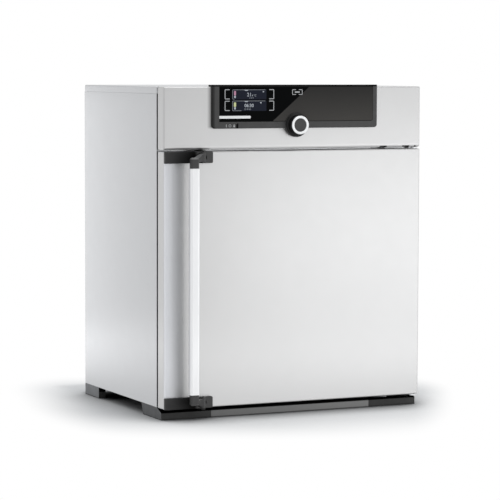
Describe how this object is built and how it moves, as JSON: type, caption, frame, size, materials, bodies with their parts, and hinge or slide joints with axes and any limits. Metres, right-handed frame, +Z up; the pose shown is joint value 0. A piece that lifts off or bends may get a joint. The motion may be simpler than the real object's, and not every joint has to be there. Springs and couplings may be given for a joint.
{
  "type": "refrigerated incubator",
  "caption": "Bench-top cooled incubator cabinet: outer door with turning bar handle, inner glass door, wire shelves, control panel with dial, rear cooling fans.",
  "frame": {"origin": "Middle of the footprint, on the floor.", "axes": "+X to the right seen from the front, +Y to the back, +Z up. The door faces -Y."},
  "size_m": [0.745, 0.64, 0.864],
  "materials": {
    "textured_steel": "satin",
    "bright_steel": "gloss",
    "blackened_steel": "satin",
    "dark_plastic": "matte",
    "black_plastic": "satin",
    "grey_rail": "matte",
    "pale_ring": "satin",
    "black_glass": "gloss",
    "clear_glass": "polished",
    "seal_rubber": "matte",
    "mineral_wool": "matte",
    "aluminium": "satin",
    "module_ceramic": "matte",
    "circuit_board": "satin"
  },
  "bodies": {
    "chassis": {"side_panel_left": "textured_steel", "side_panel_right": "textured_steel", "top_cover": "textured_steel", "rear_panel": "textured_steel", "base_pan": "textured_steel", "front_frame": "textured_steel", "header_panel": "textured_steel", "header_carrier": "dark_plastic", "chamber_liner": "bright_steel", "chamber_insulation": "mineral_wool", "air_baffle": "bright_steel", "foot_front_left": "dark_plastic", "foot_front_right": "dark_plastic", "foot_rear_left": "dark_plastic", "foot_rear_right": "dark_plastic", "plinth_rail": "grey_rail", "hinge_plate_top": "bright_steel", "hinge_plate_bottom": "bright_steel", "striker_top": "bright_steel", "striker_bottom": "bright_steel", "cockpit_frame": "dark_plastic", "cockpit_glass": "black_glass", "display_module": "black_plastic", "dial_collar": "black_plastic", "control_board": "circuit_board", "rear_housing": "textured_steel", "fan_frame_left": "dark_plastic", "fan_frame_right": "dark_plastic", "hot_sink": "aluminium", "peltier_module": "module_ceramic", "cold_sink": "aluminium", "chamber_fan_motor": "dark_plastic", "temperature_sensor": "bright_steel", "mains_inlet": "black_plastic", "glass_seal": "seal_rubber"},
    "outer_door": {"door_shell": "textured_steel", "door_liner": "bright_steel", "door_insulation": "mineral_wool", "door_gasket": "seal_rubber", "handle_bracket_top": "dark_plastic", "handle_bracket_bottom": "dark_plastic"},
    "handle": {"handle_arm_top": "dark_plastic", "handle_arm_bottom": "dark_plastic", "handle_bar": "aluminium", "latch_hook_top": "blackened_steel", "latch_hook_bottom": "blackened_steel"},
    "glass_door": {"glass_pane": "clear_glass", "glass_hinge_rail": "bright_steel", "glass_catch": "dark_plastic"},
    "shelf_upper_body": {"shelf_upper": "bright_steel"},
    "shelf_lower_body": {"shelf_lower": "bright_steel"},
    "dial": {"dial_knob": "black_plastic", "dial_ring": "pale_ring"},
    "dial_key_body": {"dial_key": "dark_plastic"},
    "main_switch_body": {"main_switch": "black_plastic"},
    "rear_fan_left": {"fan_impeller_left": "black_plastic"},
    "rear_fan_right": {"fan_impeller_right": "black_plastic"},
    "chamber_fan_body": {"chamber_fan": "black_plastic"}
  },
  "joints": [
    {"name": "outer_door_hinge", "type": "hinge", "parent": "chassis", "child": "outer_door", "pos_m": [0.3605, -0.252, 0.3615], "axis": [0, 0, 1], "range_deg": [0, 170]},
    {"name": "handle_turn", "type": "hinge", "parent": "outer_door", "child": "handle", "pos_m": [-0.2665, -0.2735, 0.3615], "axis": [0, 0, 1], "range_deg": [0, 45]},
    {"name": "glass_door_hinge", "type": "hinge", "parent": "chassis", "child": "glass_door", "pos_m": [0.3008, -0.211, 0.3615], "axis": [0, 0, 1], "range_deg": [0, 110.5]},
    {"name": "shelf_upper_slide", "type": "slide", "parent": "chassis", "child": "shelf_upper_body", "axis": [0, -1, 0], "range_m": [0, 0.11]},
    {"name": "shelf_lower_slide", "type": "slide", "parent": "chassis", "child": "shelf_lower_body", "axis": [0, -1, 0], "range_m": [0, 0.11]},
    {"name": "dial_turn", "type": "hinge", "parent": "chassis", "child": "dial", "pos_m": [0, -0.2783, 0.7595], "axis": [0, -1, 0], "continuous": true},
    {"name": "dial_key_press", "type": "slide", "parent": "dial", "child": "dial_key_body", "axis": [0, 1, 0], "range_m": [0, 0.0015], "stiffness_N_per_m": 400, "springref_m": -0.001},
    {"name": "main_switch_rock", "type": "hinge", "parent": "chassis", "child": "main_switch_body", "pos_m": [-0.17, -0.268, 0.758], "axis": [-1, 0, 0], "range_deg": [0, 14]},
    {"name": "fan_left_spin", "type": "hinge", "parent": "chassis", "child": "rear_fan_left", "pos_m": [-0.085, 0.3081, 0.4215], "axis": [0, 1, 0], "continuous": true},
    {"name": "fan_right_spin", "type": "hinge", "parent": "chassis", "child": "rear_fan_right", "pos_m": [0.085, 0.3081, 0.4215], "axis": [0, 1, 0], "continuous": true},
    {"name": "chamber_fan_spin", "type": "hinge", "parent": "chassis", "child": "chamber_fan_body", "pos_m": [0, 0.2118, 0.2915], "axis": [0, 1, 0], "continuous": true}
  ],
  "couplings": [
    {"joint": "glass_door_hinge", "follows": "outer_door_hinge", "ratio": 0.65},
    {"joint": "shelf_upper_slide", "follows": "outer_door_hinge", "m_per_rad": 0.037},
    {"joint": "shelf_lower_slide", "follows": "outer_door_hinge", "m_per_rad": 0.037}
  ]
}
